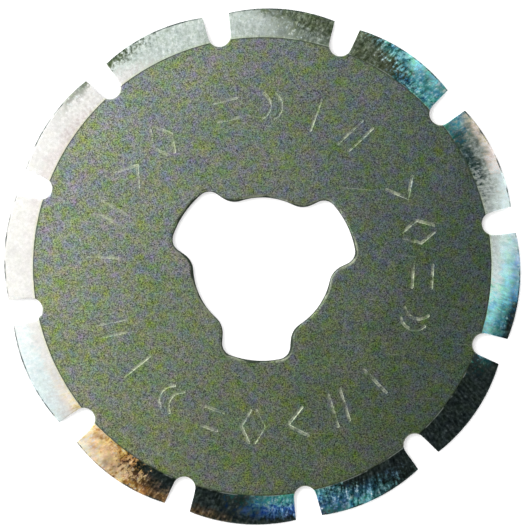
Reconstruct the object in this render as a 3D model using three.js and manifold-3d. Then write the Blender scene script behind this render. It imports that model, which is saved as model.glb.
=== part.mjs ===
// A skip blade for a rotary fabric cutter: one thin disc of hardened steel, stamped with a three-lobed
// hub hole and twelve rim notches, then ground to a cutting edge from both sides. The notches leave
// twelve short cutting teeth, which make a line of evenly spaced cuts instead of one long cut.
//
// Millimetres and degrees. The origin is the centre of the blade, halfway through its thickness, and
// +Z is the axis that it turns about. The marked face looks to +Z.

import * as THREE from "three";
import { mergeVertices } from "three/addons/utils/BufferGeometryUtils.js";
import Module from "manifold-3d";

// The disc and its bevel.
const BLADE_RADIUS = 10; // at the middle of each tooth
const TOOTH_END_RADIUS = 9.9; // each tooth is slightly crowned, so its ends are lower
const THICKNESS = 0.3;
const BEVEL_START_RADIUS = 8.86; // where the flat faces end
const EDGE_THICKNESS = 0.03; // the land left at the cutting edge, at the middle of a tooth
const OVERCUT = 0.1; // how far a cutter runs past the surface that it cuts through

// The rim notches: tapered slots with round bottoms.
const NOTCH_COUNT = 12;
const NOTCH_PITCH = 360 / NOTCH_COUNT;
const FIRST_NOTCH_ANGLE = 15;
const NOTCH_DEPTH = 1.36;
const NOTCH_BOTTOM_RADIUS = 0.44;
const NOTCH_FLARE = 5; // the angle of each wall to the notch's middle line

// The hub hole: a round bore with three square-ended lobes, which the cutter's hub drives.
const LOBE_COUNT = 3;
const FIRST_LOBE_ANGLE = 30;
const BORE_RADIUS = 2.67;
const LOBE_RADIUS = 3.65;
const LOBE_HALF_WIDTH = 1.32;
const LOBE_CORNER_RADIUS = 0.5; // inside corners, at the far end of a lobe
const SHOULDER_RADIUS = 0.8; // outside corners, where a lobe meets the bore

// The ring of shallow engraved marks on the +Z face. They are plain abstract signs, not letters.
const MARK_RING_RADIUS = 6.2;
const MARK_HEIGHT = 1.25;
const MARK_DEPTH = 0.02;
const STROKE_WIDTH = 0.12;
const MARK_GROUPS = [4, 4, 4, 8]; // how many marks stand in each group, going clockwise
const FIRST_MARK_ANGLE = 181;
const MARK_PITCH = 16; // inside a group
const GROUP_PITCH = 26; // from the last mark of a group to the first mark of the next

// How finely the round shapes are cut into flats.
const DISC_SEGMENTS = 180;
const TOOTH_STEPS = 10;
const NOTCH_STEPS = 10;
const CORNER_STEPS = 7;
const BORE_STEPS = 8;
const MARK_ARC_STEPS = 6;

const STEEL_COLOR = 0x686f62;
const STEEL_ROUGHNESS = 0.45;

const rad = THREE.MathUtils.degToRad;
const wasm = await Module();
wasm.setup();

// ---- From three.js geometry to a solid, and back ----

function solidOf(geometry) {
  geometry.deleteAttribute("normal");
  geometry.deleteAttribute("uv");
  const merged = mergeVertices(geometry);
  return new wasm.Manifold(
    new wasm.Mesh({
      numProp: 3,
      vertProperties: merged.attributes.position.array,
      triVerts: new Uint32Array(merged.index.array),
    }),
  );
}

function geometryOf(solid) {
  const { vertProperties, triVerts } = solid.getMesh();
  const shared = new THREE.BufferGeometry();
  shared.setAttribute("position", new THREE.BufferAttribute(vertProperties, 3));
  shared.setIndex(new THREE.BufferAttribute(triVerts, 1));
  const faceted = shared.toNonIndexed(); // so that every facet keeps its own normal
  faceted.computeVertexNormals();
  return faceted;
}

// ---- Outlines, as lists of points ----

// An arc about (x, y), from one angle to another in radians, with both of its ends.
function arcPoints(x, y, radius, from, to, steps) {
  return Array.from({ length: steps + 1 }, (_, i) => {
    const angle = from + ((to - from) * i) / steps;
    return new THREE.Vector2(x + radius * Math.cos(angle), y + radius * Math.sin(angle));
  });
}

const turned = (points, degrees) =>
  points.map((p) => p.clone().rotateAround(new THREE.Vector2(), rad(degrees)));

// The same curve on the other side of the X axis, run backwards so that it joins on.
const mirrored = (points) =>
  points.map((p) => new THREE.Vector2(p.x, -p.y)).reverse();

// A closed outline with no point twice, because the curves above share their end points.
function closedShape(points) {
  const distinct = points.filter(
    (p, i) => p.distanceTo(points[(i + 1) % points.length]) > 1e-4,
  );
  return new THREE.Shape(distinct);
}

function extruded(shape, bottom, top) {
  const geometry = new THREE.ExtrudeGeometry(shape, {
    depth: top - bottom,
    bevelEnabled: false,
  });
  return solidOf(geometry.translate(0, 0, bottom));
}

// Half of a notch whose middle line is the X axis: from its bottom, round and out to the rim.
function halfNotch() {
  const centre = BLADE_RADIUS - NOTCH_DEPTH + NOTCH_BOTTOM_RADIUS;
  const flare = rad(NOTCH_FLARE);
  const bottom = arcPoints(
    centre, 0, NOTCH_BOTTOM_RADIUS, Math.PI, Math.PI / 2 + flare, NOTCH_STEPS / 2,
  );
  const foot = bottom.at(-1);
  const wall = new THREE.Vector2(Math.cos(flare), Math.sin(flare));
  const along = foot.dot(wall);
  const length = Math.sqrt(along ** 2 + TOOTH_END_RADIUS ** 2 - foot.lengthSq()) - along;
  return [...bottom, foot.clone().addScaledVector(wall, length)];
}

// The crowned cutting edge of a tooth whose middle line is the X axis. It is an arc tighter than the
// blade's own, through BLADE_RADIUS in the middle and through the two tooth ends.
function toothEdge(endAngle) {
  const drop = BLADE_RADIUS - TOOTH_END_RADIUS * Math.cos(endAngle);
  const centre = (BLADE_RADIUS ** 2 - TOOTH_END_RADIUS ** 2) / (2 * drop);
  const endSide = TOOTH_END_RADIUS * Math.sin(endAngle);
  const radius = BLADE_RADIUS - centre;
  const halfArc = Math.asin(endSide / radius);
  return arcPoints(centre, 0, radius, -halfArc, halfArc, TOOTH_STEPS);
}

// The outside of the blade: notch, tooth, notch, tooth, all the way round.
function rimShape() {
  const wall = halfNotch();
  const wholeNotch = [...mirrored(wall), ...wall];
  const toothEndAngle = rad(NOTCH_PITCH / 2) - wall.at(-1).angle();
  const tooth = turned(toothEdge(toothEndAngle), NOTCH_PITCH / 2);
  const points = [];
  for (let i = 0; i < NOTCH_COUNT; i++) {
    points.push(...turned([...wholeNotch, ...tooth], FIRST_NOTCH_ANGLE + i * NOTCH_PITCH));
  }
  return closedShape(points);
}

// Half of a lobe that points along the X axis, from the middle of its end to the middle of the bore's
// arc between two lobes.
function halfLobe() {
  const cornerSide = LOBE_HALF_WIDTH - LOBE_CORNER_RADIUS;
  const cornerAlong = Math.sqrt((LOBE_RADIUS - LOBE_CORNER_RADIUS) ** 2 - cornerSide ** 2);
  const cornerAngle = Math.atan2(cornerSide, cornerAlong);
  const shoulderSide = LOBE_HALF_WIDTH + SHOULDER_RADIUS;
  const shoulderAlong = Math.sqrt((BORE_RADIUS + SHOULDER_RADIUS) ** 2 - shoulderSide ** 2);
  const shoulderAngle = Math.atan2(shoulderSide, shoulderAlong);
  return [
    ...arcPoints(0, 0, LOBE_RADIUS, 0, cornerAngle, CORNER_STEPS),
    ...arcPoints(
      cornerAlong, cornerSide, LOBE_CORNER_RADIUS, cornerAngle, Math.PI / 2, CORNER_STEPS,
    ),
    ...arcPoints(
      shoulderAlong, shoulderSide, SHOULDER_RADIUS,
      -Math.PI / 2, shoulderAngle - Math.PI, CORNER_STEPS,
    ),
    ...arcPoints(0, 0, BORE_RADIUS, shoulderAngle, Math.PI / LOBE_COUNT, BORE_STEPS),
  ];
}

function hubHoleShape() {
  const half = halfLobe();
  const lobe = [...mirrored(half), ...half];
  const points = [];
  for (let i = 0; i < LOBE_COUNT; i++) {
    points.push(...turned(lobe, FIRST_LOBE_ANGLE + (i * 360) / LOBE_COUNT));
  }
  return closedShape(points);
}

// ---- The engraved marks ----

// Each sign is a list of open lines in a square one unit high: x runs clockwise along the ring and y
// runs outwards.
const line = (...coordinates) => coordinates.map(([x, y]) => new THREE.Vector2(x, y));
const bracket = (x) => arcPoints(x, 0, 0.45, -Math.PI / 3, Math.PI / 3, MARK_ARC_STEPS);
const chevron = (side) => line([0.09 * side, 0.5], [0.36 * side, 0], [0.09 * side, -0.5]);
const SIGNS = [
  [line([0, -0.5], [0, 0.5])], // tick
  [line([-0.3, -0.5], [-0.1, 0.5]), line([0.1, -0.5], [0.3, 0.5])], // two slants
  [line([-0.25, -0.45], [0.3, 0], [-0.25, 0.45])], // arrowhead
  [chevron(-1), chevron(1)], // open diamond
  [line([-0.36, 0.3], [0.36, 0.3]), line([-0.36, -0.3], [0.36, -0.3])], // two dashes
  [bracket(-0.5), bracket(-0.15)], // two nested arcs
];

// One straight groove of STROKE_WIDTH between two points, with its ends half a width past them.
function grooveCutter(from, to) {
  const along = to.clone().sub(from).setLength(STROKE_WIDTH / 2);
  const across = new THREE.Vector2(-along.y, along.x);
  const start = from.clone().sub(along);
  const end = to.clone().add(along);
  const outline = [
    start.clone().sub(across), end.clone().sub(across),
    end.clone().add(across), start.clone().add(across),
  ];
  const top = THICKNESS / 2;
  return extruded(new THREE.Shape(outline), top - MARK_DEPTH, top + OVERCUT);
}

// A sign's point, moved to the ring at this angle.
function onRing(point, degrees) {
  const placed = new THREE.Vector2(
    MARK_RING_RADIUS + point.y * MARK_HEIGHT,
    -point.x * MARK_HEIGHT,
  );
  return placed.rotateAround(new THREE.Vector2(), rad(degrees));
}

function markAngles() {
  const angles = [];
  let angle = FIRST_MARK_ANGLE;
  for (const count of MARK_GROUPS) {
    for (let i = 0; i < count; i++) angles.push(angle - i * MARK_PITCH);
    angle -= (count - 1) * MARK_PITCH + GROUP_PITCH;
  }
  return angles;
}

function markCutters() {
  const cutters = [];
  markAngles().forEach((degrees, i) => {
    for (const stroke of SIGNS[i % SIGNS.length]) {
      const points = stroke.map((p) => onRing(p, degrees));
      points.slice(1).forEach((end, n) => cutters.push(grooveCutter(points[n], end)));
    }
  });
  return cutters;
}

// ---- The blade ----

// The ground disc: flat faces out to the bevel, then a cone on each side. It runs past the cutting
// edge at the same slope, and the rim outline then cuts it to size.
function groundDisc() {
  const slope = (THICKNESS - EDGE_THICKNESS) / 2 / (BLADE_RADIUS - BEVEL_START_RADIUS);
  const outerHalf = EDGE_THICKNESS / 2 - OVERCUT * slope;
  const profile = [
    new THREE.Vector2(0, -THICKNESS / 2),
    new THREE.Vector2(BEVEL_START_RADIUS, -THICKNESS / 2),
    new THREE.Vector2(BLADE_RADIUS + OVERCUT, -outerHalf),
    new THREE.Vector2(BLADE_RADIUS + OVERCUT, outerHalf),
    new THREE.Vector2(BEVEL_START_RADIUS, THICKNESS / 2),
    new THREE.Vector2(0, THICKNESS / 2),
  ];
  return solidOf(new THREE.LatheGeometry(profile, DISC_SEGMENTS).rotateX(Math.PI / 2));
}

function bladeSolid() {
  const past = THICKNESS / 2 + OVERCUT;
  const stamped = groundDisc()
    .intersect(extruded(rimShape(), -past, past))
    .subtract(extruded(hubHoleShape(), -past, past));
  return markCutters().reduce((solid, cutter) => solid.subtract(cutter), stamped);
}

const steel = new THREE.MeshStandardMaterial({
  color: STEEL_COLOR,
  roughness: STEEL_ROUGHNESS,
  metalness: 1,
});

const blade = new THREE.Mesh(geometryOf(bladeSolid()), steel);
blade.name = "skip_blade";

const part = new THREE.Group();
part.add(blade);

export default part;
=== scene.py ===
# A skip blade for a rotary fabric cutter, lying marked face up on a pale table: one thin steel disc
# with a three-lobed hub hole, twelve rim notches and a cutting edge ground from both sides.
# Shapes are worked out in millimetres in the frame of the CAD part, and scaled to metres at the end.
import functools
import math

import bmesh
import bpy
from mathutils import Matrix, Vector
from mathutils.geometry import delaunay_2d_cdt


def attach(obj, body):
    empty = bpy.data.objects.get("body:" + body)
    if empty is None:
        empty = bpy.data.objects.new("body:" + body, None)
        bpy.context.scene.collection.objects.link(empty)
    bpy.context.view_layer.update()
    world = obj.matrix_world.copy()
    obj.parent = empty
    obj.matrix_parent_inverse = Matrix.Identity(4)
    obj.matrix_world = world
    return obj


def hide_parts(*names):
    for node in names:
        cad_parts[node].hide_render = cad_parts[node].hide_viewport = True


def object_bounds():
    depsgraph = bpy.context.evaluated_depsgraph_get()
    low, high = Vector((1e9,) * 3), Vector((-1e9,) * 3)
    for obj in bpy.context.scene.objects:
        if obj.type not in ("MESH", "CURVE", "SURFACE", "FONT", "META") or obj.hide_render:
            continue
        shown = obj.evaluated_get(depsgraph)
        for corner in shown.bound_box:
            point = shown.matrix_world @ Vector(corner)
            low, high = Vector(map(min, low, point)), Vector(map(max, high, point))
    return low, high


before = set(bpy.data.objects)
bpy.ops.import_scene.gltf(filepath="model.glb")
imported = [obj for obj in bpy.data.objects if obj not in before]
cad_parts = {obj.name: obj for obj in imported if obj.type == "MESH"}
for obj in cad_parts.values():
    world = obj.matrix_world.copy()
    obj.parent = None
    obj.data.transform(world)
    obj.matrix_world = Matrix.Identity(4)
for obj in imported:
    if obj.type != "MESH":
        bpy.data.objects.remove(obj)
cad_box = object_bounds()

MM = 0.001

# ---- Sizes, in millimetres and degrees; the same as the CAD part's ----

BLADE_RADIUS = (cad_box[1].x - cad_box[0].x) / 2 / MM
THICKNESS = (cad_box[1].z - cad_box[0].z) / MM
TOOTH_END_RADIUS = 9.9    # each tooth is slightly crowned, so its ends are lower
BEVEL_START = 8.86        # radius at which the flat faces end

NOTCHES = 12
NOTCH_PITCH = 360 / NOTCHES
FIRST_NOTCH = 15
NOTCH_DEPTH = 1.36
NOTCH_BOTTOM = 0.44       # radius of its round end
NOTCH_FLARE = 5           # the angle of each wall to the notch's middle line

LOBES = 3
FIRST_LOBE = 30
BORE_RADIUS = 2.67
LOBE_RADIUS = 3.65
LOBE_HALF_WIDTH = 1.32
LOBE_CORNER = 0.5         # radius of the inside corners, at the far end of a lobe
SHOULDER = 0.8            # radius of the outside corners, where a lobe meets the bore

MARK_RING = 6.2
MARK_HEIGHT = 1.25
MARK_GROUPS = (4, 4, 4, 8)  # how many marks stand in each group, going clockwise
FIRST_MARK = 181
MARK_PITCH = 16           # inside a group
GROUP_PITCH = 26          # from the last mark of a group to the first mark of the next

# Fine detail that the CAD part leaves out.
MICRO_START = 0.945       # how far across the bevel the honed edge strip starts
MICRO_HALF = 0.027        # half the thickness there
EDGE_HALF = 0.006         # half the thickness left at the very edge
BEVEL_CROWN = 0.005       # how far the middle of the bevel bulges
HOLE_ROLL = (0.13, 0.05)  # width and depth of the rolled edge that stamping leaves round the hole
NOTCH_ROLL = (0.05, 0.014)
BURR_SHARE = 0.35         # the underside's edges are rolled this much as deeply
BURNISH_SHARE = 0.35      # the top part of a stamped wall is burnished, the rest is torn
ROLL_STEPS = (0, 0.12, 0.3, 0.6, 1)  # the rings of a rolled edge, as shares of its width
BEVEL_ROWS = (0, 0.02, 0.1, 0.24, 0.4, 0.56, 0.72, 0.86, MICRO_START, 1)

# The engraved lines: the CAD part's width and depth, and sloping sides.
GROOVE_HALF = 0.06        # half the width at the surface
GROOVE_FLOOR_HALF = 0.025
GROOVE_DEPTH = 0.02

# How many straight steps a round stretch of an outline is drawn in.
LOBE_STEPS = 6
CORNER_STEPS = 10
SHOULDER_STEPS = 12
BORE_STEPS = 8
NOTCH_STEPS = 18
TOOTH_STEPS = 16
BRACKET_STEPS = 6
CAP_STEPS = 6

SAME_POINT = 1e-5         # points of an outline that are closer than this are one
WELD = 1e-4               # vertices of two patches that are closer than this are joined
FACE_TOLERANCE = 1e-6     # the same, while a flat face is divided into triangles
SETTLING_ROUNDS = 6       # rounds in which a bevel point's radius and turn agree

TOP, BOTTOM = 1, -1


# ---- Plane curves ----

ORIGIN = Vector((0, 0))


def polar(radius, angle):
    return Vector((radius * math.cos(angle), radius * math.sin(angle)))


def spread(start, end, steps):
    """steps + 1 evenly spaced values, both ends included."""
    return [start + (end - start) * i / steps for i in range(steps + 1)]


def arc(centre, radius, start, end, steps):
    return [centre + polar(radius, a) for a in spread(start, end, steps)]


def turned(points, degrees):
    c, s = math.cos(math.radians(degrees)), math.sin(math.radians(degrees))
    return [Vector((c * p.x - s * p.y, s * p.x + c * p.y)) for p in points]


def mirrored(points):
    """The curve on the other side of the X axis, run backwards so that it joins on."""
    return [Vector((p.x, -p.y)) for p in reversed(points)]


def without_repeats(points):
    return [p for i, p in enumerate(points) if (p - points[i - 1]).length > SAME_POINT]


def hub_hole(offset):
    """The hub hole's outline, moved into the metal by offset, with as many points for any offset."""
    corner_side = LOBE_HALF_WIDTH - LOBE_CORNER
    corner_along = math.sqrt((LOBE_RADIUS - LOBE_CORNER) ** 2 - corner_side**2)
    corner_angle = math.atan2(corner_side, corner_along)
    shoulder_side = LOBE_HALF_WIDTH + SHOULDER
    shoulder_along = math.sqrt((BORE_RADIUS + SHOULDER) ** 2 - shoulder_side**2)
    shoulder_angle = math.atan2(shoulder_side, shoulder_along)
    corner = Vector((corner_along, corner_side))
    shoulder = Vector((shoulder_along, shoulder_side))
    half = [
        *arc(ORIGIN, LOBE_RADIUS + offset, 0, corner_angle, LOBE_STEPS),
        *arc(corner, LOBE_CORNER + offset, corner_angle, math.pi / 2, CORNER_STEPS)[1:],
        *arc(shoulder, SHOULDER - offset, -math.pi / 2, shoulder_angle - math.pi, SHOULDER_STEPS),
        *arc(ORIGIN, BORE_RADIUS + offset, shoulder_angle, math.pi / LOBES, BORE_STEPS)[1:],
    ]
    lobe = mirrored(half)[1:] + half[1:]
    return [
        p for i in range(LOBES) for p in turned(lobe, FIRST_LOBE + i * 360 / LOBES)
    ]


NOTCH_CENTRE = BLADE_RADIUS - NOTCH_DEPTH + NOTCH_BOTTOM


def notch_turn(radius, offset):
    """Where the notch's outline, moved into the metal by offset, crosses a circle round the blade's
    centre: the angle from the notch's middle line, in radians."""
    rho = NOTCH_BOTTOM + offset
    flare = math.radians(NOTCH_FLARE)
    foot = Vector((NOTCH_CENTRE - rho * math.sin(flare), rho * math.cos(flare)))
    if radius < foot.length:
        reach = (radius**2 + NOTCH_CENTRE**2 - rho**2) / (2 * NOTCH_CENTRE)
        return math.acos(min(1, reach / radius))
    wall = Vector((math.cos(flare), math.sin(flare)))
    along = foot.dot(wall)
    crossing = foot + wall * (math.sqrt(along**2 + radius**2 - foot.length_squared) - along)
    return math.atan2(crossing.y, crossing.x)


def notch_bottom(offset):
    """The part of a notch's outline that lies in the flat face, round the X axis."""
    turn = notch_turn(BEVEL_START, offset)
    ends = polar(BEVEL_START, turn) - Vector((NOTCH_CENTRE, 0))
    half = math.pi - math.atan2(ends.y, ends.x)
    rho = NOTCH_BOTTOM + offset
    return arc(Vector((NOTCH_CENTRE, 0)), rho, math.pi + half, math.pi - half, NOTCH_STEPS)


# A tooth's cutting edge is one arc, whose centre lies on the tooth's middle line, this far out.
HALF_TOOTH = math.radians(NOTCH_PITCH / 2)
TOOTH_END = HALF_TOOTH - notch_turn(TOOTH_END_RADIUS, 0)
CROWN_CENTRE = (BLADE_RADIUS**2 - TOOTH_END_RADIUS**2) / 2 / (
    BLADE_RADIUS - TOOTH_END_RADIUS * math.cos(TOOTH_END)
)


def edge_radius(turn):
    """The cutting edge's distance from the blade's centre, at an angle from the tooth's middle."""
    crown_radius = BLADE_RADIUS - CROWN_CENTRE
    return CROWN_CENTRE * math.cos(turn) + math.sqrt(
        crown_radius**2 - (CROWN_CENTRE * math.sin(turn)) ** 2
    )


def tooth_columns():
    """The lines that run across a tooth's bevel, as (offset from the notch, share of the way from
    the tooth's middle to that offset's curve)."""
    rings = [NOTCH_ROLL[0] * s for s in ROLL_STEPS]
    inner = [(rings[-1], s) for s in spread(-1, 1, TOOTH_STEPS)[1:-1]]
    return [(r, -1) for r in rings] + inner + [(r, 1) for r in reversed(rings)]


def bevel_point(column, across):
    """A point of the bevel of the tooth whose middle is the X axis."""
    offset, share = column
    radius = BEVEL_START
    for _ in range(SETTLING_ROUNDS):
        turn = share * (HALF_TOOTH - notch_turn(radius, offset))
        radius = BEVEL_START + across * (edge_radius(turn) - BEVEL_START)
    return polar(radius, turn)


# ---- Heights ----

def roll(offset, size):
    """How far a rolled edge has dropped at this distance from it."""
    width, depth = size
    short = max(0, 1 - offset / width)
    return depth * (1 - math.sqrt(1 - short**2))


def bevel_height(across, offset):
    """The height of the bevel, and how far it has dropped at this distance from the notch."""
    if across <= MICRO_START:
        share = across / MICRO_START
        height = THICKNESS / 2 * (1 - share) + MICRO_HALF * share
        height += BEVEL_CROWN * math.sin(math.pi * share)
    else:
        share = (across - MICRO_START) / (1 - MICRO_START)
        height = MICRO_HALF * (1 - share) + EDGE_HALF * share
    return height, roll(offset, NOTCH_ROLL) * (1 - across)


def raised(height, drop, side):
    """The z of a point on the top or the underside, whose rolled edges are shallower."""
    return side * (height - drop * (1 if side == TOP else BURR_SHARE))


# ---- The mesh, one patch at a time. Edges between two patches are sharp. ----

FACE, BEVEL, WALL, GROOVE, ROLLED = range(5)


def in_scene(name, data):
    """A new object with this data, placed in the scene."""
    made = bpy.data.objects.new(name, data)
    bpy.context.scene.collection.objects.link(made)
    return made


class Skin:
    """The mesh while it is made. Every face remembers its patch."""

    def __init__(self):
        self.mesh = bmesh.new()
        self.patch_of = self.mesh.faces.layers.int.new("patch")
        self.patch = 0

    def face(self, points, material):
        made = self.mesh.faces.new([self.mesh.verts.new(p) for p in points])
        made.material_index = material
        made.smooth = True
        made[self.patch_of] = self.patch
        return made

    def grid(self, rows, material, closed=False):
        """Quads between neighbouring rows of points, as one smooth patch."""
        self.patch += 1
        for low, high in zip(rows, rows[1:]):
            count = len(low)
            for i in range(count if closed else count - 1):
                j = (i + 1) % count
                self.face([low[i], low[j], high[j], high[i]], material)

    def finished(self, name):
        """The object that the patches make up, joined, scaled to metres and placed in the scene."""
        bmesh.ops.remove_doubles(self.mesh, verts=self.mesh.verts, dist=WELD)
        bmesh.ops.recalc_face_normals(self.mesh, faces=self.mesh.faces)
        for edge in self.mesh.edges:
            edge.smooth = len({f[self.patch_of] for f in edge.link_faces}) == 1
        bmesh.ops.scale(self.mesh, vec=(MM, MM, MM), verts=self.mesh.verts)
        data = bpy.data.meshes.new(name)
        self.mesh.to_mesh(data)
        self.mesh.free()
        return in_scene(name, data)


def at(points, z):
    return [(p.x, p.y, z) for p in points]


def rolled_rings(outline, size, side):
    """The rings of a rolled edge, from the stamped wall to the flat face."""
    rings = []
    for step in ROLL_STEPS:
        offset = step * size[0]
        z = raised(THICKNESS / 2, roll(offset, size), side)
        rings.append(at(outline(offset), z))
    return rings


def wall_rows(high, low):
    """A stamped wall's rows of points: its top edge, the end of the burnished band, its foot."""
    middle = [
        (a[0], a[1], a[2] + (b[2] - a[2]) * BURNISH_SHARE) for a, b in zip(high, low)
    ]
    return [high, middle, low]


def add_hub_hole(skin):
    top, bottom = (rolled_rings(hub_hole, HOLE_ROLL, side) for side in (TOP, BOTTOM))
    for rings in (top, bottom):
        skin.grid(rings, ROLLED, closed=True)
    skin.grid(wall_rows(top[0], bottom[0]), WALL, closed=True)


def add_notch(skin, degrees):
    def outline(offset):
        return turned(notch_bottom(offset), degrees)

    top, bottom = (rolled_rings(outline, NOTCH_ROLL, side) for side in (TOP, BOTTOM))
    for rings in (top, bottom):
        skin.grid(rings, ROLLED)
    skin.grid(wall_rows(top[0], bottom[0]), WALL)


def tooth_side(degrees, side):
    """One side of a tooth: its rows of points from the bevel's start to the cutting edge."""
    rows = []
    for across in BEVEL_ROWS:
        row = []
        for column in tooth_columns():
            point = turned([bevel_point(column, across)], degrees)[0]
            height, drop = bevel_height(across, column[0])
            row.append((point.x, point.y, raised(height, drop, side)))
        rows.append(row)
    return rows


def add_tooth(skin, degrees):
    top, bottom = (tooth_side(degrees, side) for side in (TOP, BOTTOM))
    for rows in (top, bottom):
        skin.grid(rows[:-1], BEVEL)
        skin.grid(rows[-2:], BEVEL)  # the honed strip, whose border is sharp
    skin.grid(wall_rows(top[-1], bottom[-1]), BEVEL)
    for end in (0, -1):
        skin.grid(wall_rows([r[end] for r in top], [r[end] for r in bottom]), WALL)


def face_rim():
    """The outside of the flat face: the starts of the bevels, and round the notch bottoms."""
    points = []
    for i in range(NOTCHES):
        notch = FIRST_NOTCH + i * NOTCH_PITCH
        points += turned(notch_bottom(NOTCH_ROLL[0]), notch)
        starts = [bevel_point(c, 0) for c in tooth_columns() if c[0] == NOTCH_ROLL[0]]
        points += turned(starts, notch + NOTCH_PITCH / 2)
    return without_repeats(points)


def add_flat_face(skin, side, grooves=()):
    """The flat face, with the hub hole and the engraved lines left open: of the triangles between
    the loops, those that lie in the first loop and in no other."""
    loops = [face_rim(), without_repeats(hub_hole(HOLE_ROLL[0])), *grooves]
    points = [p for loop in loops for p in loop]
    faces, start = [], 0
    for loop in loops:
        faces.append(list(range(start, start + len(loop))))
        start += len(loop)
    verts, _, tris, _, _, inside = delaunay_2d_cdt(points, [], faces, 0, FACE_TOLERANCE)
    skin.patch += 1
    for tri, owners in zip(tris, inside):
        if list(owners) == [0]:
            skin.face([(verts[i].x, verts[i].y, side * THICKNESS / 2) for i in tri], FACE)


# ---- The engraved marks: plain abstract signs, not letters ----

def line(*points):
    return [Vector(p) for p in points]


BRACKET_RADIUS = 0.45
BRACKET_REACH = math.pi / 3


def bracket(x):
    centre = Vector((x, 0))
    return arc(centre, BRACKET_RADIUS, -BRACKET_REACH, BRACKET_REACH, BRACKET_STEPS)


# Each sign is a list of open lines in a square one unit high: x runs clockwise, y outwards.
SIGNS = (
    [line((0, -0.5), (0, 0.5))],
    [line((-0.3, -0.5), (-0.1, 0.5)), line((0.1, -0.5), (0.3, 0.5))],
    [line((-0.25, -0.45), (0.3, 0), (-0.25, 0.45))],
    [line((-0.09, 0.5), (-0.36, 0), (-0.09, -0.5)), line((0.09, 0.5), (0.36, 0), (0.09, -0.5))],
    [line((-0.36, 0.3), (0.36, 0.3)), line((-0.36, -0.3), (0.36, -0.3))],
    [bracket(-0.5), bracket(-0.15)],
)


def mark_angles():
    """Where the marks stand round the blade, in degrees, group by group and clockwise."""
    angle = FIRST_MARK
    for count in MARK_GROUPS:
        yield from (angle - i * MARK_PITCH for i in range(count))
        angle -= (count - 1) * MARK_PITCH + GROUP_PITCH


def strokes():
    """Every engraved line, as points on the face."""
    for i, degrees in enumerate(mark_angles()):
        for stroke in SIGNS[i % len(SIGNS)]:
            placed = [Vector((MARK_RING + p.y * MARK_HEIGHT, -p.x * MARK_HEIGHT)) for p in stroke]
            yield turned(placed, degrees)


def outline_of(stroke, half):
    """The closed outline of a line drawn half a width to each side, with round ends."""
    def direction(i, j):
        return (stroke[j] - stroke[i]).normalized()

    last = len(stroke) - 1
    right = []
    left = []
    for i, point in enumerate(stroke):
        before = direction(max(i - 1, 0), max(i, 1))
        after = direction(min(i, last - 1), min(i + 1, last))
        middle = (before + after).normalized()
        across = Vector((middle.y, -middle.x)) * half / middle.dot(after)
        right.append(point + across)
        left.append(point - across)

    def cap(point, heading):
        facing = math.atan2(heading.y, heading.x)
        return arc(point, half, facing - math.pi / 2, facing + math.pi / 2, CAP_STEPS)[1:-1]

    end = cap(stroke[-1], direction(last - 1, last))
    start = cap(stroke[0], direction(1, 0))
    return right + end + left[::-1] + start


def add_groove(skin, stroke):
    rim = at(outline_of(stroke, GROOVE_HALF), THICKNESS / 2)
    floor = at(outline_of(stroke, GROOVE_FLOOR_HALF), THICKNESS / 2 - GROOVE_DEPTH)
    skin.grid([rim, floor], GROOVE, closed=True)
    skin.patch += 1
    bmesh.ops.triangulate(skin.mesh, faces=[skin.face(floor, GROOVE)])


def make_blade():
    skin = Skin()
    add_hub_hole(skin)
    for i in range(NOTCHES):
        notch = FIRST_NOTCH + i * NOTCH_PITCH
        add_notch(skin, notch)
        add_tooth(skin, notch + NOTCH_PITCH / 2)
    lines = list(strokes())
    add_flat_face(skin, TOP, [outline_of(s, GROOVE_HALF) for s in lines])
    add_flat_face(skin, BOTTOM)
    for stroke in lines:
        add_groove(skin, stroke)
    return skin.finished("stamped_blade")


# ---- Node trees ----

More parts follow.
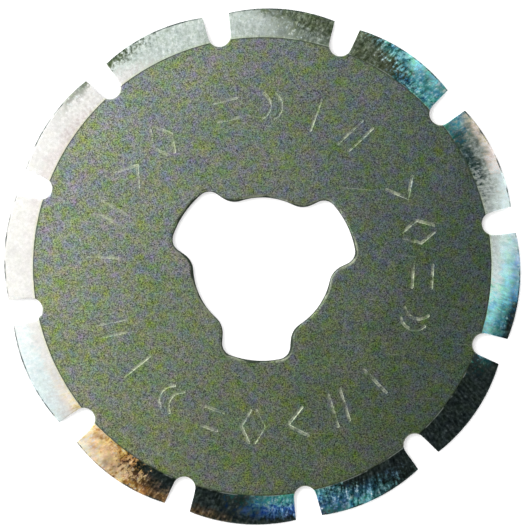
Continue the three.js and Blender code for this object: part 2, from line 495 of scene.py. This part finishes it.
class Nodes:
    """A node tree, with one short call for each kind of node. Any input can be given as a socket or
    as a plain value."""

    def __init__(self, tree):
        self.tree = tree

    def feed(self, node, inputs):
        """Links the inputs that are given a socket, and sets those that are given a value."""
        for key, value in inputs.items():
            if isinstance(value, bpy.types.NodeSocket):
                self.tree.links.new(value, node.inputs[key])
            else:
                node.inputs[key].default_value = value

    def add(self, kind, inputs, **settings):
        """A new node's outputs."""
        node = self.tree.nodes.new(kind)
        for key, value in settings.items():
            setattr(node, key, value)
        self.feed(node, inputs)
        return node.outputs

    def coordinates(self, name):
        return self.add("ShaderNodeTexCoord", {})[name]

    def constant(self, color):
        output = self.add("ShaderNodeRGB", {})[0]
        output.default_value = color
        return output

    def math(self, operation, a, b=0.0, c=0.0, clamp=False):
        inputs = {0: a, 1: b, 2: c}
        return self.add("ShaderNodeMath", inputs, operation=operation, use_clamp=clamp)[0]

    def total(self, *terms):
        return functools.reduce(lambda a, b: self.math("ADD", a, b), terms)

    def product(self, *factors):
        return functools.reduce(lambda a, b: self.math("MULTIPLY", a, b), factors)

    def vector(self, operation, a, b=(0, 0, 0)):
        inputs = {0: a, "Scale" if operation == "SCALE" else 1: b}
        outputs = self.add("ShaderNodeVectorMath", inputs, operation=operation)
        return outputs["Value" if operation in ("LENGTH", "DOT_PRODUCT") else "Vector"]

    def xyz(self, x, y, z):
        return self.add("ShaderNodeCombineXYZ", {0: x, 1: y, 2: z})[0]

    def parts(self, vector):
        """A vector's x, y and z."""
        return self.add("ShaderNodeSeparateXYZ", {0: vector})

    def noise(self, point, scale, detail=2.0, roughness=0.5):
        """Fractal noise, mostly from 0.3 to 0.7, with cells that are 1/scale across."""
        inputs = {"Vector": point, "Scale": scale, "Detail": detail, "Roughness": roughness}
        return self.add("ShaderNodeTexNoise", inputs)["Fac"]

    def swing(self, noise, width, middle=0.0):
        """A noise from 0 to 1, spread over a width round a middle value."""
        return self.math("MULTIPLY_ADD", noise, width, middle - width / 2)

    def ranged(self, value, span, to=(0.0, 1.0), smooth=False):
        """The value, with one span carried over to another and held at its ends."""
        inputs = {0: value, 1: span[0], 2: span[1], 3: to[0], 4: to[1]}
        kind = "SMOOTHSTEP" if smooth else "LINEAR"
        return self.add("ShaderNodeMapRange", inputs, interpolation_type=kind)[0]

    def mix(self, factor, a, b):
        """The colour a where the factor is 0, and b where it is 1."""
        return self.add("ShaderNodeMix", {0: factor, 6: a, 7: b}, data_type="RGBA")[2]

    def ramp(self, factor, stops):
        """A colour that runs through the stops, each of which is a position and a colour."""
        output = self.add("ShaderNodeValToRGB", {0: factor})[0]
        elements = output.node.color_ramp.elements
        while len(elements) < len(stops):
            elements.new(0.5)
        for element, (position, color) in zip(elements, stops):
            element.position = position
            element.color = color
        return output

    def bump(self, height, strength, depth):
        inputs = {"Strength": strength, "Distance": depth * MM, "Height": height}
        return self.add("ShaderNodeBump", inputs)[0]


# ---- Materials ----

# Most of their numbers come in groups, whose names end with what they are:
#   NOISE           cells to a millimetre, octaves and, where it isn't the usual one, roughness
#   DETAIL          the octaves and roughness alone
#   GRAIN, MOTTLE   strength and cells to a millimetre
#   SPAN            two values that are turned into 0 and 1, with what lies between them
#   RANGE           a span, and the two values that it is turned into

def srgb(red, green, blue):
    """A colour given in 0 to 255 steps, as linear light."""
    def linear(value):
        share = value / 255
        return share / 12.92 if share <= 0.04045 else ((share + 0.055) / 1.055) ** 2.4

    return (linear(red), linear(green), linear(blue), 1)


def steel(name, roughness):
    """A bare metal material: its nodes, its shader and the surface point in millimetres."""
    material = bpy.data.materials.new(name)
    material.use_nodes = True
    nodes = Nodes(material.node_tree)
    shader = material.node_tree.nodes["Principled BSDF"]
    nodes.feed(shader, {"Metallic": 1, "Roughness": roughness})
    return material, nodes, shader, nodes.vector("SCALE", nodes.coordinates("Object"), 1 / MM)


def flat_radius(nodes, point):
    """The distance from the blade's axis."""
    return nodes.vector("LENGTH", nodes.vector("MULTIPLY", point, (1, 1, 0)))


MOTTLE_DETAIL = (3, 0.62)
MOTTLE_SWING = (0.9, -0.6, 2.3)  # how far it swings red, green and blue, at a strength of 1
RED_SHIFT = (5, 43, 0)         # the noises are read this far away, so that they differ
BLUE_SHIFT = (31, 7, 0)
SPECK_DETAIL = (1, 0.7)


def tinted(nodes, color, point, strength, scale):
    """The colour, with the fine violet and yellow-green mottling of tempered steel."""
    red = nodes.noise(nodes.vector("ADD", point, RED_SHIFT), scale, *MOTTLE_DETAIL)
    blue = nodes.noise(nodes.vector("ADD", point, BLUE_SHIFT), scale, *MOTTLE_DETAIL)
    swings = zip((red, blue, blue), MOTTLE_SWING)
    shift = nodes.xyz(*(nodes.swing(noise, width * strength, 1) for noise, width in swings))
    return nodes.vector("MULTIPLY", color, shift)


def speckled(nodes, color, point, strength, scale):
    """The colour, with fine light and dark grain."""
    grain = nodes.swing(nodes.noise(point, scale, *SPECK_DETAIL), strength, 1)
    return nodes.vector("MULTIPLY", color, nodes.xyz(grain, grain, grain))


# ---- The satin face ----

FACE_DARK = srgb(63, 75, 66)
FACE_LIGHT = srgb(119, 127, 113)
PAINTED_SHADE_SLOPE = (-0.0587, 0.0125, 0)  # how the painted shade changes across the face, per millimetre: lighter towards the key light
PATCH_NOISE = (0.35, 2)
PATCH_SWING = (0.3, 0.5)           # how far the patches change the shade, and round what value
SHADE_POWER = 1.25
STRAW_RANGE = ((-9, 3), (0.5, 0))  # from strong to none, along Y
STRAW_TINT = (1.0, 0.99, 0.6)      # what the faint straw tint does to the colour
FACE_MOTTLE = (1.12, 2.6)
FACE_GRAIN = (3.9, 24)
SCRATCHES = ((24, (0.7, 0.8)), (112, (0.72, 0.8)))  # a turn of the noise in degrees, and its span
SCRATCH_STRETCH = (0.35, 14, 1)    # cells of noise to a millimetre, along a scratch and across it
SCRATCH_SHARE = 0.35
SCRATCH_COLOR = srgb(170, 174, 160)
RIM_RANGE = ((BEVEL_START - 0.07, BEVEL_START - 0.01), (0, 0.85))
RIM_COLOR = srgb(48, 56, 42)
BUMP_NOISE = (14, 2)


def scratches(nodes, point, degrees, span):
    """Long thin streaks along X, other ones for each turn of the noise: 1 on them, 0 elsewhere."""
    rotation = (0, 0, math.radians(degrees))
    inputs = {"Vector": point, "Rotation": rotation, "Scale": SCRATCH_STRETCH}
    return nodes.ranged(nodes.noise(nodes.add("ShaderNodeMapping", inputs)[0], 1), span)


def face_color(nodes, point):
    """Painted shade, darker away from the key light's side, and strawy towards another side; mottled,
    grained and lightly scratched, with a dark line where the bevel starts."""
    # painted shade: the face is painted lighter towards the key light and darker away from it
    painted_shade = nodes.vector("DOT_PRODUCT", point, PAINTED_SHADE_SLOPE)
    patchy = nodes.swing(nodes.noise(point, *PATCH_NOISE), *PATCH_SWING)
    shade = nodes.math("ADD", painted_shade, patchy, clamp=True)
    color = nodes.mix(nodes.math("POWER", shade, SHADE_POWER), FACE_DARK, FACE_LIGHT)
    straw = nodes.ranged(nodes.parts(point)[1], *STRAW_RANGE)
    color = nodes.mix(straw, color, nodes.vector("MULTIPLY", color, STRAW_TINT))
    color = tinted(nodes, color, point, *FACE_MOTTLE)
    color = speckled(nodes, color, point, *FACE_GRAIN)
    worn = nodes.math("MAXIMUM", *(scratches(nodes, point, *row) for row in SCRATCHES))
    color = nodes.mix(nodes.product(worn, SCRATCH_SHARE), color, SCRATCH_COLOR)
    return nodes.mix(nodes.ranged(flat_radius(nodes, point), *RIM_RANGE), color, RIM_COLOR)


def satin_face():
    material, nodes, shader, point = steel("satin_steel", roughness=0.4)
    bump = nodes.bump(nodes.noise(point, *BUMP_NOISE), strength=0.25, depth=0.003)
    nodes.feed(shader, {"Base Color": face_color(nodes, point), "Normal": bump})
    return material


# ---- The rolled edges ----

EDGE_LINE = 0.124              # below this height a rolled edge is painted dark, though unevenly so: painted shade where it turns down
EDGE_SPAN = (EDGE_LINE - 0.008, EDGE_LINE)
EDGE_WAVER_NOISE = (0.9, 3, 0.6)
EDGE_WAVER_RANGE = ((0.35, 0.65), (0, 0.03))
EDGE_WEAR_NOISE = (0.7, 3, 0.6)
EDGE_WEAR_SHIFT = (17, 3, 0)
EDGE_WEAR_SPAN = (0.42, 0.6)
EDGE_GRAIN = (1.2, 12)
EDGE_DARK = srgb(44, 52, 44)
EDGE_BRIGHT = srgb(120, 126, 108)
LEVEL_SPAN = (THICKNESS / 2 - 0.002, THICKNESS / 2)  # heights at which it takes on the face's colour


def rolled_edge():
    """The rounded edges that stamping leaves: burnished, with a dark uneven line of painted shade at
    the very edge.
    """
    material, nodes, shader, point = steel("rolled_steel", roughness=0.28)
    height = nodes.math("ABSOLUTE", nodes.parts(point)[2])
    uneven = nodes.ranged(nodes.noise(point, *EDGE_WAVER_NOISE), *EDGE_WAVER_RANGE)
    burnished = nodes.ranged(nodes.math("SUBTRACT", height, uneven), EDGE_SPAN)
    satin = face_color(nodes, point)
    wear = nodes.noise(nodes.vector("ADD", point, EDGE_WEAR_SHIFT), *EDGE_WEAR_NOISE)
    bright = nodes.mix(nodes.ranged(wear, EDGE_WEAR_SPAN), satin, EDGE_BRIGHT)
    # painted shade: the uneven dark line where the rolled edge turns down into the wall
    color = nodes.mix(burnished, EDGE_DARK, speckled(nodes, bright, point, *EDGE_GRAIN))
    color = nodes.mix(nodes.ranged(height, LEVEL_SPAN), color, satin)
    nodes.feed(shader, {"Base Color": color})
    return material


# ---- The ground bevel ----

# The colours painted on it: heat tints from grinding, together with painted reflections that make it
# pale and white on the side towards the key light and near black on the side away from it.
WHITE = srgb(189, 188, 184)
PALE = srgb(172, 171, 168)
ROSY = srgb(171, 165, 162)
FROST = srgb(184, 196, 196)
SILVER = srgb(150, 159, 153)
DULL = srgb(112, 122, 112)
OLIVE = srgb(74, 84, 66)
SAND = srgb(208, 196, 172)
BLUSH = srgb(246, 236, 230)
MIST = srgb(196, 206, 200)
COOL = srgb(232, 250, 250)
AQUA = srgb(154, 232, 236)
TEAL = srgb(80, 148, 154)
BLUE = srgb(58, 100, 150)
SKY = srgb(96, 160, 190)
DEEP = srgb(44, 90, 108)
SLATE = srgb(66, 86, 82)
STRAW = srgb(200, 172, 122)
GOLD = srgb(160, 118, 64)
BROWN = srgb(96, 74, 48)
BLACK = srgb(34, 43, 41)

# Each row of tints and painted reflections: the angle round the blade in degrees, then the colour at
# the bevel's inner side, along its middle and at its edge.
TINTS_AND_PAINTED_REFLECTIONS = (
    (0, COOL, AQUA, SKY),
    (14, MIST, COOL, COOL),
    (24, SILVER, MIST, COOL),
    (29, SLATE, SILVER, BLUSH),
    (37, SLATE, DULL, SAND),
    (43, TEAL, TEAL, SILVER),
    (51, TEAL, TEAL, TEAL),
    (58, DEEP, TEAL, AQUA),
    (63, OLIVE, OLIVE, TEAL),
    (70, OLIVE, OLIVE, OLIVE),
    (87, DULL, OLIVE, OLIVE),
    (93, SILVER, SILVER, OLIVE),
    (99, SILVER, SILVER, SILVER),
    (121, SILVER, SILVER, SILVER),
    (129, PALE, SILVER, OLIVE),
    (137, PALE, PALE, OLIVE),
    (150, ROSY, PALE, PALE),
    (192, WHITE, WHITE, WHITE),
    (211, WHITE, FROST, FROST),
    (222, SAND, WHITE, FROST),
    (231, STRAW, STRAW, SAND),
    (239, GOLD, STRAW, STRAW),
    (243, BLACK, BROWN, GOLD),
    (252, BLACK, BLACK, BROWN),
    (268, BLACK, BLACK, BLACK),
    (278, TEAL, BLUE, BLACK),
    (287, TEAL, BLUE, BLACK),
    (296, BLACK, DEEP, TEAL),
    (308, BLACK, BLACK, BLACK),
    (340, BLACK, BLACK, BLACK),
    (354, AQUA, TEAL, BLACK),
)

# The noises that break the colours up.
FINE_LINES = 90                # cells of noise to a radian, round the blade
BROAD_LINES = 30
LINE_CELLS = 2.5               # cells of noise to a millimetre, across the bevel
LINE_SLANT = 0.004             # how far a grinding line leans, in turns per millimetre
LINE_DETAIL = (2, 0.6)
CLOUD_NOISE = (1.6, 3, 0.6)
GRAIN_NOISE = (8, 3, 0.65)
GLINT_NOISE = (7, 3, 0.7)

# How far the noises carry the tints and painted reflections and change them, noise by noise.
DRIFT = {"cloud": 0.04, "lines": 0.04, "grain": 0.06}   # round the blade, in turns
RAGGED = {"broad": 0.4, "cloud": 0.5, "grain": 0.5}     # across the bevel, as shares of its width
BROKEN = {"lines": 1.2, "grain": 1.5}                   # the power that a colour is raised to
STREAKED = {"broad": 1.8}                               # the brightness, of vivid colours
UNEVEN = {"lines": 0.3, "cloud": 0.3}                   # the brightness, of all colours
BRIGHTNESS = 0.98                                       # round which it changes

# Where the three rings of tints and painted reflections meet, as shares of the bevel's width.
INNER_SPAN = (0.2, 0.5)
OUTER_SPAN = (0.55, 0.85)

# How much the colours are broken up: by lightness at the dark end, by lightness at the pale end, and
# by how much bluer than red they are.
DARK_CONTRAST_RANGE = ((0.03, 0.1), (0.8, 1.4))
PALE_CONTRAST_RANGE = ((0.15, 0.45), (1, 0.35))
BLUE_CONTRAST_RANGE = ((-0.1, 0.25), (0.75, 1.6))
VIVID_RANGE = ((0.1, 0.6), (0.08, 1))  # of saturation

BEVEL_MOTTLE = (0.55, 3.0)
# The glints are painted highlights: their noise's span, and how they fade out on dark and on pale
# colours.
GLINT_SPAN = (0.56, 0.74)
GLINT_DARK_RANGE = ((0.05, 0.2), (0, 0.8))
GLINT_PALE_RANGE = ((0.3, 0.45), (1, 0))

# Bands of the bevel: a warm fringe and a broken painted highlight along the ridge at its start, and
# the honed strip, painted dark as a painted reflection.
FRINGE_RANGE = ((BEVEL_START + 0.03, BEVEL_START + 0.1), (0.6, 0))
FRINGE_TINT = (0.98, 1.0, 0.75)
RIDGE_HIGHLIGHT_RANGE = ((BEVEL_START, BEVEL_START + 0.045), (0.8, 0))
RIDGE_HIGHLIGHT_GAP_SPAN = (0.48, 0.56)
HONED_DARK_REFLECTION_RANGE = ((MICRO_HALF - 0.004, MICRO_HALF), (1, 0))
HONED_REFLECTION_GAP_RANGE = ((0.38, 0.6), (0.25, 0.95))


class Bevel:
    """The ground bevel's noises, and the steps in which its colour is built up."""

    def __init__(self, nodes, point):
        x, y, z = nodes.parts(point)
        self.nodes = nodes
        self.point = point
        self.height = nodes.math("ABSOLUTE", z)
        self.radius = flat_radius(nodes, point)
        self.turn = nodes.math("DIVIDE", nodes.math("ARCTAN2", y, x), 2 * math.pi)
        self.noises = {
            "lines": self.grinding_lines(FINE_LINES),
            "broad": self.grinding_lines(BROAD_LINES),
            "cloud": nodes.noise(point, *CLOUD_NOISE),
            "grain": nodes.noise(point, *GRAIN_NOISE),
        }

    def grinding_lines(self, cells):
        """Fine slanted lines across the bevel, drawn on a circle so that they have no seam."""
        nodes = self.nodes
        lean = nodes.math("MULTIPLY_ADD", self.radius, LINE_SLANT, self.turn)
        angle = nodes.product(lean, 2 * math.pi)
        place = nodes.xyz(
            nodes.product(nodes.math("COSINE", angle), cells),
            nodes.product(nodes.math("SINE", angle), cells),
            nodes.product(self.radius, LINE_CELLS),
        )
        return nodes.noise(place, 1, *LINE_DETAIL)

    def stray(self, widths):
        """The sum of the named noises, each spread over its width round zero."""
        swings = (self.nodes.swing(self.noises[name], width) for name, width in widths.items())
        return self.nodes.total(*swings)

    def tint(self):
        """The heat tints and painted reflections, by angle and by distance from the edge, with ragged
        borders.
        """
        nodes = self.nodes
        turn = nodes.math("FRACT", nodes.total(self.turn, 1, self.stray(DRIFT)))
        across = nodes.ranged(self.radius, (BEVEL_START, BLADE_RADIUS))
        across = nodes.total(self.stray(RAGGED), across)
        rows = (*TINTS_AND_PAINTED_REFLECTIONS, (360, *TINTS_AND_PAINTED_REFLECTIONS[0][1:]))  # the last one closes the ring
        inner, middle, edge = (
            nodes.ramp(turn, [(row[0] / 360, row[i]) for row in rows]) for i in (1, 2, 3)
        )
        color = nodes.mix(nodes.ranged(across, INNER_SPAN, smooth=True), inner, middle)
        return nodes.mix(nodes.ranged(across, OUTER_SPAN, smooth=True), color, edge)

    def contrast(self, color, light):
        """How much a colour is broken up: middling and blue ones most, pale and golden ones least."""
        nodes = self.nodes
        parts = nodes.add("ShaderNodeSeparateColor", {0: color})
        blueness = nodes.math("SUBTRACT", parts[2], parts[0])
        return nodes.product(
            nodes.ranged(light, *DARK_CONTRAST_RANGE),
            nodes.ranged(light, *PALE_CONTRAST_RANGE),
            nodes.ranged(blueness, *BLUE_CONTRAST_RANGE),
        )

    def glinting(self, color, light):
        """The colour, with painted glints: bright specks of painted highlight where it is neither
        dark nor pale.
        """
        nodes = self.nodes
        glint = nodes.product(
            nodes.ranged(nodes.noise(self.point, *GLINT_NOISE), GLINT_SPAN),
            nodes.ranged(light, *GLINT_DARK_RANGE),
            nodes.ranged(light, *GLINT_PALE_RANGE),
        )
        return nodes.mix(glint, color, FROST)

    def streaky(self, color, vivid):
        """The colour, with its brightness changed along the grinding lines."""
        nodes = self.nodes
        streaks = nodes.product(self.stray(STREAKED), vivid)
        bright = nodes.total(self.stray(UNEVEN), streaks, BRIGHTNESS)
        return nodes.vector("MULTIPLY", color, nodes.xyz(bright, bright, bright))

    def banded(self, color):
        """The colour, with the fringe, the ridge's painted highlight and the honed strip's painted
        dark reflection.
        """
        nodes = self.nodes
        cloud = self.noises["cloud"]
        fringe = nodes.ranged(self.radius, *FRINGE_RANGE)
        color = nodes.mix(fringe, color, nodes.vector("MULTIPLY", color, FRINGE_TINT))
        # painted highlight: a broken bright line along the ridge where the bevel starts
        ridge = nodes.ranged(self.radius, *RIDGE_HIGHLIGHT_RANGE)
        color = nodes.mix(nodes.product(ridge, nodes.ranged(cloud, RIDGE_HIGHLIGHT_GAP_SPAN)), color, SILVER)
        # painted reflection: the honed strip at the very edge is painted dark, as its steeper facet
        # reflects dark
        honed = nodes.ranged(self.height, *HONED_DARK_REFLECTION_RANGE)
        return nodes.mix(nodes.product(honed, nodes.ranged(cloud, *HONED_REFLECTION_GAP_RANGE)), color, BLACK)

    def color(self):
        nodes = self.nodes
        # heat tints together with painted reflections: pale towards the key light, near black away
        # from it
        color = self.tint()
        light = nodes.add("ShaderNodeRGBToBW", {0: color})[0]
        saturation = nodes.add("ShaderNodeSeparateColor", {0: color}, mode="HSV")[1]
        vivid = nodes.ranged(saturation, *VIVID_RANGE)
        contrast = self.contrast(color, light)
        power = nodes.math("MULTIPLY_ADD", self.stray(BROKEN), contrast, 1)
        color = nodes.mix(vivid, color, tinted(nodes, color, self.point, *BEVEL_MOTTLE))
        color = nodes.add("ShaderNodeGamma", {0: color, 1: power})[0]
        return self.banded(self.streaky(self.glinting(color, light), vivid))


def ground_bevel():
    material, nodes, shader, point = steel("ground_steel", roughness=0.22)
    bevel = Bevel(nodes, point)
    bump = nodes.bump(bevel.noises["lines"], strength=0.35, depth=0.004)
    nodes.feed(shader, {"Base Color": bevel.color(), "Normal": bump})
    return material


# ---- The stamped walls ----

WALL_NOISE = (4, 2)
WALL_WAVER = 0.08              # how far the burnished band's lower limit goes up and down
BURNISHED_SPAN = (0.02, 0.05)  # heights at which torn metal turns into burnished metal
BURNISHED_COLOR = srgb(176, 180, 174)
TORN_COLOR = srgb(92, 92, 86)
TORN_GRAIN = (1.8, 18)
TORN_ROUGHNESS = 0.55
BURNISHED_ROUGHNESS = 0.25


def stamped_wall():
    """The walls that stamping leaves: a burnished band under the top edge and torn metal below."""
    material, nodes, shader, point = steel("stamped_steel", roughness=0.4)
    ragged = nodes.swing(nodes.noise(point, *WALL_NOISE), WALL_WAVER)
    burnished = nodes.ranged(nodes.total(nodes.parts(point)[2], ragged), BURNISHED_SPAN)
    torn = speckled(nodes, nodes.constant(TORN_COLOR), point, *TORN_GRAIN)
    nodes.feed(shader, {
        "Base Color": nodes.mix(burnished, torn, BURNISHED_COLOR),
        "Roughness": nodes.ranged(burnished, (0, 1), (TORN_ROUGHNESS, BURNISHED_ROUGHNESS)),
    })
    return material


# ---- The engraving ----

BITE_NOISE = (3.2, 3, 0.65)
BITE_RANGE = ((0.42, 0.62), (0.05, 0.55))
ENGRAVED_COLOR = srgb(168, 174, 152)
ENGRAVED_GRAIN = (2.2, 15)


def engraving():
    """The engraved lines: brighter than the face where the tool bit, and broken up."""
    material, nodes, shader, point = steel("engraved_steel", roughness=0.38)
    bite = nodes.ranged(nodes.noise(point, *BITE_NOISE), *BITE_RANGE)
    bright = speckled(nodes, nodes.constant(ENGRAVED_COLOR), point, *ENGRAVED_GRAIN)
    nodes.feed(shader, {"Base Color": nodes.mix(bite, face_color(nodes, point), bright)})
    return material


# ---- The stage, in metres ----

CAMERA_HEIGHT = 0.095
CAMERA_ROLL = 4.45             # the blade lies this far clockwise of its own frame
FIELD = 0.02059                # the width that the picture spans at the blade
AIM = (0.000144, 0.000029)     # the point of the blade's plane in the middle of the picture
SENSOR = 36                    # the sensor's width, in millimetres
CLIP = (0.001, 10)             # how near and how far the camera sees


def add_camera():
    """A camera that looks straight down on the blade."""
    data = bpy.data.cameras.new("camera")
    data.sensor_width = SENSOR
    data.lens = SENSOR * CAMERA_HEIGHT / FIELD
    data.clip_start, data.clip_end = CLIP
    camera = in_scene("camera", data)
    camera.location = (*AIM, CAMERA_HEIGHT)
    camera.rotation_euler = (0, 0, math.radians(CAMERA_ROLL))
    bpy.context.scene.camera = camera


FLOOR_SIZE = 1.5
FLOOR_GAP = 0.000004           # the floor lies this far below the blade
FLOOR_NEAR = (0.95, 0.95, 0.95, 1)
FLOOR_FAR = (0.33, 0.33, 0.33, 1)
FLOOR_SPAN = (0.02, 0.35)      # how far out the floor turns from its near to its far grey: painted shade, as if less light fell far out
FLOOR_GLOW = 0.12              # keeps the floor white in the hub hole, where less light falls


def floor_material():
    material = bpy.data.materials.new("floor")
    material.use_nodes = True
    nodes = Nodes(material.node_tree)
    # painted shade: the floor is painted darker far from the blade, where it meets the dim horizon
    far = nodes.ranged(nodes.vector("LENGTH", nodes.coordinates("Object")), FLOOR_SPAN, smooth=True)
    nodes.feed(material.node_tree.nodes["Principled BSDF"], {
        "Base Color": nodes.mix(far, FLOOR_NEAR, FLOOR_FAR),
        "Emission Color": (1, 1, 1, 1),
        "Emission Strength": FLOOR_GLOW,
        "Roughness": 0.9,
        "Specular IOR Level": 0.1,
    })
    return material


def add_floor():
    half = FLOOR_SIZE / 2
    z = cad_box[0].z - FLOOR_GAP
    corners = [(-half, -half, z), (half, -half, z), (half, half, z), (-half, half, z)]
    mesh = bpy.data.meshes.new("floor")
    mesh.from_pydata(corners, [], [(0, 1, 2, 3)])
    mesh.materials.append(floor_material())
    floor = in_scene("floor", mesh)


KEY_SIDE = math.radians(155)
KEY_RISE = math.radians(48)
KEY_DISTANCE = 0.09
KEY_SIZE = 0.03
KEY_RADIANCE = 3.5


def add_key_light():
    """One soft box, up and to the side that the face is lightest on."""
    data = bpy.data.lights.new("key", "AREA")
    data.shape = "SQUARE"
    data.size = KEY_SIZE
    data.energy = KEY_RADIANCE * math.pi * KEY_SIZE**2
    flat = polar(math.cos(KEY_RISE), KEY_SIDE)
    towards = Vector((flat.x, flat.y, math.sin(KEY_RISE)))
    key = in_scene("key", data)
    key.location = towards * KEY_DISTANCE
    key.rotation_euler = towards.to_track_quat("Z", "Y").to_euler()
    key.visible_camera = False


# The studio's brightness. Heights are the z of a direction, and sides are how far it leans towards
# the key light.
CEILING_SPAN = (0.72, 0.95)                 # the heights at which the walls turn into the ceiling
CEILING_RANGE = ((-0.05, 0.3), (0.7, 2.0))  # the ceiling, by side
STUDIO_RANGE = ((0.1, 0.85), (0.5, 2.4))    # the walls, by height
STUDIO_LEAN = 0.7                           # how much brighter the walls are on the key's side


def add_world():
    """A white studio: dim at floor level and bright above, with a ceiling that is dimmer away from
    the key light."""
    world = bpy.data.worlds.new("studio")
    world.use_nodes = True
    nodes = Nodes(world.node_tree)
    direction = nodes.coordinates("Generated")
    side = nodes.vector("DOT_PRODUCT", direction, (math.cos(KEY_SIDE), math.sin(KEY_SIDE), 0))
    height = nodes.vector("DOT_PRODUCT", direction, (0, 0, 1))
    ceiling = nodes.ranged(side, *CEILING_RANGE, smooth=True)
    walls = nodes.ranged(height, *STUDIO_RANGE, smooth=True)
    walls = nodes.product(walls, nodes.math("MULTIPLY_ADD", side, STUDIO_LEAN, 1))
    overhead = nodes.ranged(height, CEILING_SPAN, smooth=True)
    light = nodes.add("ShaderNodeMix", {0: overhead, 2: walls, 3: ceiling}, data_type="FLOAT")[0]
    background = world.node_tree.nodes["Background"]
    nodes.feed(background, {"Color": (1, 1, 1, 1), "Strength": light})
    bpy.context.scene.world = world


blade = make_blade()
for material in (satin_face(), ground_bevel(), stamped_wall(), engraving(), rolled_edge()):
    blade.data.materials.append(material)
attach(blade, "root")
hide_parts("skip_blade")

add_camera()
add_floor()
add_key_light()
add_world()
bpy.context.scene.view_settings.view_transform = "Standard"
